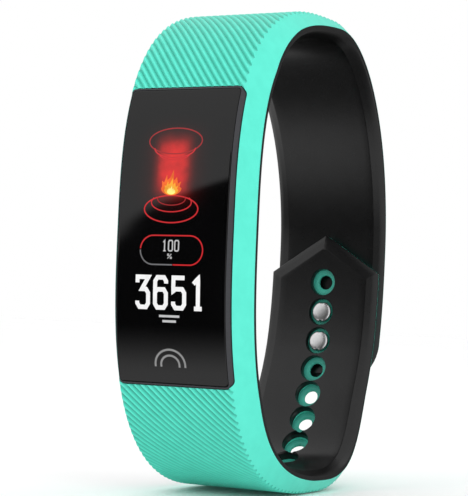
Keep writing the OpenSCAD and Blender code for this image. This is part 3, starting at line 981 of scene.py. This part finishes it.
def glow_lens(nodes, links, shader):
    """Black glass with the display's soft red glow behind it, strongest in the column over the flame."""
    put(shader, Emission_Strength=1.0)
    coords = nodes.new("ShaderNodeTexCoord")
    split = nodes.new("ShaderNodeSeparateXYZ")
    links.new(coords.outputs["Object"], split.inputs["Vector"])
    calc = partial(math_node, nodes, links)

    def falloff(axis_out, centre, width, power):
        t = calc("DIVIDE", calc("SUBTRACT", axis_out, centre * MM), width * MM)
        return calc("EXPONENT", calc("MULTIPLY", calc("POWER", calc("ABSOLUTE", t), power), -1.0))

    x, z = split.outputs["X"], split.outputs["Z"]
    column = calc("MULTIPLY", falloff(x, ART_X, 2.35, 4.0), falloff(z, 7.9, 3.7, 5.0))
    halo = calc("MULTIPLY", falloff(x, ART_X, 3.3, 2.5), falloff(z, 7.9, 4.6, 4.0))
    wisps = scaled(nodes, links, noise(nodes, links, 650, 3.0), 0.55, 1.25)
    glow = calc("MULTIPLY", calc("ADD", calc("MULTIPLY", column, 0.75), calc("MULTIPLY", halo, 0.12)), wisps)
    links.new(
        ramp(nodes, links, glow, [(0.0, (0, 0, 0)), (0.3, (0.16, 0.005, 0.004)), (1.0, (0.88, 0.022, 0.02))]),
        shader.inputs["Emission Color"],
    )
    smear = noise(nodes, links, 120, 3.0)
    links.new(scaled(nodes, links, smear, 0.02, 0.045), shader.inputs["Roughness"])
    links.new(
        ramp(nodes, links, smear, [(0.3, (0.0009, 0.0009, 0.001)), (0.8, (0.0016, 0.0016, 0.0018))]),
        shader.inputs["Base Color"],
    )


ART_X = -0.3
look("lens_glass", (0.004, 0.004, 0.005), 0.05, glow_lens, Specular_IOR_Level=0.5)
lens = slab("lens_glass", lens_rings)
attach(paint(lens, MATS["lens_glass"]), "pod")
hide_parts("lens")

# the frame round the lens, chamfered along its two long edges only
outer_base = (FRAME_HALF_W, FRAME_HALF, 1.0)
CHAMFER_DROP, CHAMFER_GAP = 0.76, 0.05


def frame_ring(t, d, flat_y=None):
    """A ring a share t of the way from the lens's edge to the frame's outer edge."""
    a = dense(rounded(*outer_base, 10), 0.7)
    hx, hz = LENS_HALF_W, LENS_HALF
    ring = []
    for x, z in a:
        ix = max(-hx, min(hx, x * hx / FRAME_HALF_W))
        iz = max(-hz, min(hz, z * hz / FRAME_HALF))
        # the lens's corners are sharper than the frame's
        if abs(x) > FRAME_HALF_W - 1.0 and abs(z) > FRAME_HALF - 1.0:
            ang = math.atan2(abs(z) - FRAME_HALF + 1.0, abs(x) - FRAME_HALF_W + 1.0)
            ix = math.copysign(hx - 0.5 + 0.5 * math.cos(ang), x)
            iz = math.copysign(hz - 0.5 + 0.5 * math.sin(ang), z)
        px = ix + (x - ix) * t
        reach = (abs(px) - hx - CHAMFER_GAP) / (FRAME_HALF_W - hx - CHAMFER_GAP)
        p = on_face(px, iz + (z - iz) * t + POD_MID, d + CHAMFER_DROP * max(0.0, reach))
        if flat_y is not None:
            p.y = flat_y * MM
        ring.append(p)
    return ring


FRAME_BACK = -24.9
# (share of the way out, depth) across the frame's face
FRAME_EDGE = [(0.0, 0.6), (0.0, 0.1), (0.05, 0.04), (0.1, 0.02), (0.18, 0.02), (0.55, 0.02)]
FRAME_EDGE += [(0.9, 0.03), (0.97, 0.07), (1.0, 0.17)]
frame_rings = [frame_ring(0.0, 0.9, FRAME_BACK)] + [frame_ring(t, d) for t, d in FRAME_EDGE]
frame_rings.append(frame_ring(1.0, 0, FRAME_BACK))
rim = stack("pod_rim", frame_rings, closed_ends=False)
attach(paint(rim, MATS["frame_metal"]), "pod")
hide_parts("pod_frame")

# ---------------------------------------------------------------- what the display shows

ART_D, ART_FOOT = -0.012, 0.05


def glowing(name, colour, strength, vary=0.12):
    def build(nodes, links, shader):
        put(shader, Emission_Strength=strength)
        patch = noise(nodes, links, 900, 2.0)
        dim = tuple(c * (1 - vary) for c in colour)
        links.new(ramp(nodes, links, patch, [(0.3, dim), (0.7, colour)]), shader.inputs["Emission Color"])

    return material(name, tuple(c * 0.02 for c in colour), 0.2, build)


WHITE = glowing("show_white", (0.95, 0.95, 0.95), 1.0)
PALE = glowing("show_pale", (0.55, 0.55, 0.56), 1.0)
GREY = glowing("show_grey", (0.17, 0.17, 0.18), 1.0)
KEY_GREY = glowing("show_key", (0.27, 0.27, 0.27), 1.0)
RED = glowing("show_red", (0.62, 0.02, 0.025), 1.0)
RED_DIM = glowing("show_red_dim", (0.36, 0.015, 0.018), 1.0)


def art_point(x, s, d):
    return Vector(place(s, x, d))


def follow(path, closed, step=0.4):
    """The same path with its long steps cut up, so that it keeps to the curved face."""
    out = []
    for p, q in zip(path, path[1:] + path[:1]) if closed else zip(path, path[1:]):
        n = max(1, math.ceil(math.dist(p, q) / step))
        out += [(p[0] + (q[0] - p[0]) * k / n, p[1] + (q[1] - p[1]) * k / n) for k in range(n)]
    return out if closed else out + [path[-1]]


def stroke(name, paths, width, mat, lift=0.0, closed=False):
    """Thin raised lines along paths of (x, s), with mitred corners."""
    verts, faces = [], []
    for path in paths:
        pts = np.array(follow(path, closed), float)
        n = len(pts)
        start = len(verts)
        for i in range(n):
            before = pts[i] - pts[i - 1] if (closed or i) else pts[1] - pts[0]
            after = pts[(i + 1) % n] - pts[i] if (closed or i < n - 1) else pts[-1] - pts[-2]
            before, after = before / np.linalg.norm(before), after / np.linalg.norm(after)
            nb, na = np.array([-before[1], before[0]]), np.array([-after[1], after[0]])
            m = nb + na
            m /= np.linalg.norm(m)
            m /= max(0.5, float(m @ na))
            for side, d in ((1, ART_D - lift), (-1, ART_D - lift), (-1, ART_FOOT), (1, ART_FOOT)):
                q = pts[i] + m * side * width / 2
                verts.append(art_point(q[0], q[1], d))
        for i in range(n if closed else n - 1):
            a, b = start + 4 * i, start + 4 * ((i + 1) % n)
            faces += [(a + k, a + (k + 1) % 4, b + (k + 1) % 4, b + k) for k in range(4)]
        if not closed:
            a, b = start, start + 4 * (n - 1)
            faces += [(a + 3, a + 2, a + 1, a), (b, b + 1, b + 2, b + 3)]
    obj = new_object(name, verts, faces, smooth=False)
    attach(paint(obj, mat), "pod")


def fill(name, shapes, mat, lift=0.0):
    """Flat raised shapes from outlines of (x, s)."""
    verts, faces = [], []
    for shape in shapes:
        n, start = len(shape), len(verts)
        verts += [art_point(x, s, d) for d in (ART_D - lift, ART_FOOT) for x, s in shape]
        faces += [(start + i, start + (i + 1) % n, start + n + (i + 1) % n, start + n + i) for i in range(n)]
        faces += [tuple(start + i for i in range(n)), tuple(start + n + i for i in reversed(range(n)))]
    obj = new_object(name, verts, faces, smooth=False)
    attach(paint(obj, mat), "pod")


def ellipse(cx, cs, rx, rs, start=0, stop=360, n=72):
    span = np.radians(np.linspace(start, stop, n, endpoint=stop - start < 360))
    return [(cx + rx * math.cos(t), cs + rs * math.sin(t)) for t in span]


# rings of the glowing column
stroke("ring_top", [ellipse(ART_X, 11.3, 3.9, 1.7)], 0.16, RED_DIM, closed=True)
stroke("ring_top_low", [ellipse(ART_X, 10.35, 3.0, 1.25, 180, 360)], 0.16, RED, 0.002)
stroke("ring_top_rim", [ellipse(ART_X, 9.7, 2.3, 0.9, 190, 350)], 0.12, RED, 0.003)
stroke("ring_foot", [ellipse(ART_X, 2.45, 3.95, 1.75)], 0.17, RED, closed=True)
stroke("ring_foot_mid", [ellipse(ART_X, 3.3, 2.95, 1.2, 150, 390)], 0.15, RED, 0.002)
stroke("ring_foot_top", [ellipse(ART_X, 3.75, 2.05, 0.8, 160, 380)], 0.13, RED_DIM, 0.003)

# a flame of three nested tongues: lift, height, half width, colour and strength of each
FLAME = (
    (0.0, 3.3, 1.5, (1.0, 0.16, 0.02), 1.0),
    (0.28, 2.2, 1.05, (1.0, 0.42, 0.03), 1.1),
    (0.5, 1.15, 0.62, (1.0, 0.85, 0.22), 1.2),
)


def flame_outline(rise, half, foot):
    """Half a turn round the foot, then up one side and down the other with three points."""
    middle, turn = ART_X - 0.1, np.radians(np.linspace(180, 360, 22))
    pts = [(middle + half * math.cos(t), foot + half * 0.62 * (1 + math.sin(t))) for t in turn]
    right = [(0.8, 0.34), (0.93, 0.55), (0.62, 0.46), (0.5, 0.72), (0.22, 0.58), (0.14, 1.0)]
    left = [(-0.16, 0.7), (-0.42, 0.6), (-0.5, 0.82), (-0.74, 0.5), (-0.95, 0.58), (-0.92, 0.36)]
    return pts + [(middle + half * x, foot + rise * z) for x, z in right + left]


for i, (lift, rise, half, colour, strength) in enumerate(FLAME):
    mat = glowing(f"show_flame_{i + 1}", colour, strength, 0.3)
    fill(f"flame_{i + 1}", [flame_outline(rise, half, 4.2 + lift * 0.25)], mat, 0.002 * (i + 1))

# the pill round the small number: red, with its lower left part grey
PILL_L, PILL_R, PILL_T, PILL_B = -4.6, 4.6, -0.95, -4.7
PILL_RAD = (PILL_T - PILL_B) / 2
pill_mid = (PILL_T + PILL_B) / 2
right_end = ellipse(PILL_R - PILL_RAD, pill_mid, PILL_RAD, PILL_RAD, -90, 90, 20)
left_top = ellipse(PILL_L + PILL_RAD, pill_mid, PILL_RAD, PILL_RAD, 90, 175, 10)
left_low = ellipse(PILL_L + PILL_RAD, pill_mid, PILL_RAD, PILL_RAD, 180, 270, 10)
stroke("pill_red", [[(0.3, PILL_B)] + right_end + left_top], 0.17, RED)
stroke("pill_grey", [left_low + [(0.2, PILL_B)]], 0.17, GREY)

# numbers, drawn on a box one wide and two high
FOOT_CURVE = [(1, 0.25), (0.8, 0), (0.2, 0), (0, 0.25)]
DIGITS = {
    "0": [[
        (0.2, 0), (0.8, 0), (1, 0.25), (1, 1.75), (0.8, 2),
        (0.2, 2), (0, 1.75), (0, 0.25), (0.2, 0), (0.5, 0),
    ]],
    "1": [[(0.1, 1.62), (0.62, 2), (0.62, 0)], [(0.2, 0), (1.05, 0)]],
    "3": [[(0, 1.62), (0, 2), (1, 2), (0.42, 1.2), (0.78, 1.2), (1, 0.95), *FOOT_CURVE, (0, 0.4)]],
    "5": [[(1, 2), (0, 2), (0, 1.12), (0.2, 1.25), (0.8, 1.25), (1, 1.0), *FOOT_CURVE, (0, 0.42)]],
    "6": [[
        (1, 1.6), (1, 1.75), (0.8, 2), (0.2, 2), (0, 1.75), *FOOT_CURVE[::-1],
        (1, 0.95), (0.8, 1.2), (0.2, 1.2), (0, 1.0),
    ]],
}


def number(name, places, low, high, width, mat):
    paths = []
    for digit, x0, x1 in places:
        for path in DIGITS[digit]:
            a, b = x0 + width / 2, x1 - width / 2
            paths.append([(a + x * (b - a), low + width / 2 + z / 2 * (high - low - width)) for x, z in path])
    stroke(name, paths, width, mat)


steps = [("3", -5.15, -2.95), ("6", -2.5, -0.3), ("5", 0.2, 2.4), ("1", 3.0, 4.9)]
number("count", steps, -10.5, -6.05, 0.58, WHITE)
number("share", [("1", -1.35, -0.75), ("0", -0.5, 0.25), ("0", 0.42, 1.15)], -3.0, -1.5, 0.17, PALE)
dots = [ellipse(x, s, 0.11, 0.11, 0, 350, 12) for x, s in ((-0.42, -3.42), (0.0, -3.8))]
stroke("share_mark", [[(-0.5, -3.9), (0.05, -3.3)], *dots], 0.1, PALE)
stroke("unit_bars", [[(-1.6, -11.3), (1.4, -11.3)], [(-1.1, -11.95), (0.9, -11.95)]], 0.3, PALE)
KEY_X = -0.2
for i, r in enumerate((2.2, 1.35)):
    arch = ellipse(KEY_X, -17.6, r, r * 0.9, 0, 180, 30)
    stroke(f"key_arc_{i + 1}", [[(KEY_X + r, -17.9), *arch, (KEY_X - r, -17.9)]], 0.27, KEY_GREY)

# ---------------------------------------------------------------- floor, light, camera


def floor():
    size, z = 4.0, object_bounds()[0].z - 0.0002
    corners = [(x * size, y * size, z) for x, y in ((-1, -1), (1, -1), (1, 1), (-1, 1))]
    mesh = bpy.data.meshes.new("floor")
    mesh.from_pydata(corners, [], [(0, 1, 2, 3)])
    obj = bpy.data.objects.new("floor", mesh)
    bpy.context.scene.collection.objects.link(obj)
    build = grained((0.95, 0.95, 0.95), (0.97, 0.97, 0.97), 40, 0.05, 0.6, 0.8, 0.0002)
    paint(obj, material("floor", (0.96, 0.96, 0.96), 0.7, build))
    obj.visible_glossy = False
    obj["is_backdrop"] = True


floor()


def area(name, at, target, size, power):
    light = bpy.data.lights.new(name, "AREA")
    light.shape = "RECTANGLE"
    light.size = light.size_y = size
    light.energy = power
    obj = bpy.data.objects.new(name, light)
    bpy.context.scene.collection.objects.link(obj)
    obj.location = at
    obj.rotation_mode = "QUATERNION"
    obj.rotation_quaternion = (Vector(target) - Vector(at)).to_track_quat("-Z", "Y")
    return obj


def studio():
    """Even white light all round. In reflections only, it is dark to the front left, far below and behind."""
    world = bpy.data.worlds.new("studio")
    world.use_nodes = True
    nodes, links = world.node_tree.nodes, world.node_tree.links
    coords, split = nodes.new("ShaderNodeTexCoord"), nodes.new("ShaderNodeSeparateXYZ")
    links.new(coords.outputs["Generated"], split.inputs["Vector"])
    x, y, z = split.outputs
    calc = partial(math_node, nodes, links)
    # the panel's slanting upper edge, its soft lower edge and its soft sides, all as directions
    edge = calc("MINIMUM", calc("MAXIMUM", calc("ADD", calc("MULTIPLY", x, 2.13), 1.168), 0.02), 0.28)
    above = fade(nodes, links, calc("SUBTRACT", z, edge), -0.012, 0.012)
    below = fade(nodes, links, calc("MULTIPLY", z, -1.0), 0.2, 0.5)
    toward = calc("ADD", calc("MULTIPLY", x, -0.49), calc("MULTIPLY", y, -0.87))
    level = calc("SQRT", calc("SUBTRACT", 1.0, calc("MULTIPLY", z, z)))
    ahead = fade(nodes, links, calc("DIVIDE", toward, level), 0.62, 0.8)
    between = calc("MULTIPLY", calc("SUBTRACT", 1.0, above), calc("SUBTRACT", 1.0, below))
    panel = calc("MULTIPLY", between, ahead)
    underneath = calc("MULTIPLY", fade(nodes, links, calc("MULTIPLY", z, -1.0), 0.62, 0.84), 0.85)
    behind = calc("MULTIPLY", fade(nodes, links, y, 0.45, 0.75), 0.8)
    dark = calc("MAXIMUM", calc("MULTIPLY", panel, 0.98), calc("MAXIMUM", underneath, behind))

    def background(strength):
        node = nodes.new("ShaderNodeBackground")
        node.inputs["Color"].default_value = (1, 1, 1, 1)
        if isinstance(strength, float):
            node.inputs["Strength"].default_value = strength
        else:
            links.new(strength, node.inputs["Strength"])
        return node.outputs["Background"]

    path = nodes.new("ShaderNodeLightPath")
    shown = background(1.12)
    for ray, light in (
        ("Is Glossy Ray", background(calc("MULTIPLY", calc("SUBTRACT", 1.0, dark), 0.82))),
        ("Is Camera Ray", background(1.0)),
    ):
        mix = nodes.new("ShaderNodeMixShader")
        links.new(path.outputs[ray], mix.inputs["Fac"])
        links.new(shown, mix.inputs[1])
        links.new(light, mix.inputs[2])
        shown = mix.outputs["Shader"]
    links.new(shown, nodes["World Output"].inputs["Surface"])
    bpy.context.scene.world = world


studio()
for light in (
    area("key", (-0.2, -0.5, 0.5), (0, 0, 0), 0.5, 0.8),
    area("side", (0.6, -0.35, 0.15), (0, 0, 0), 0.4, 0.6),
):
    light.visible_glossy = False

bpy.context.scene.view_settings.view_transform = "Standard"

CAMERA_AT = Vector((110.98, -220.2, -11.34)) * MM
LOOK_AT = Vector((-6.14, -0.64, -1.05)) * MM
ROLL = math.radians(2.41)
cam = bpy.data.cameras.new("camera")
cam.sensor_width = 36
cam.lens = 125.3
cam.clip_start, cam.clip_end = 0.01, 20
camera = bpy.data.objects.new("camera", cam)
bpy.context.scene.collection.objects.link(camera)
forward = (LOOK_AT - CAMERA_AT).normalized()
right = forward.cross(Vector((0, 0, 1))).normalized()
up = right.cross(forward)
right, up = right * math.cos(ROLL) + up * math.sin(ROLL), -right * math.sin(ROLL) + up * math.cos(ROLL)
camera.matrix_world = Matrix.Translation(CAMERA_AT) @ Matrix((right, up, -forward)).transposed().to_4x4()
bpy.context.scene.camera = camera

import json
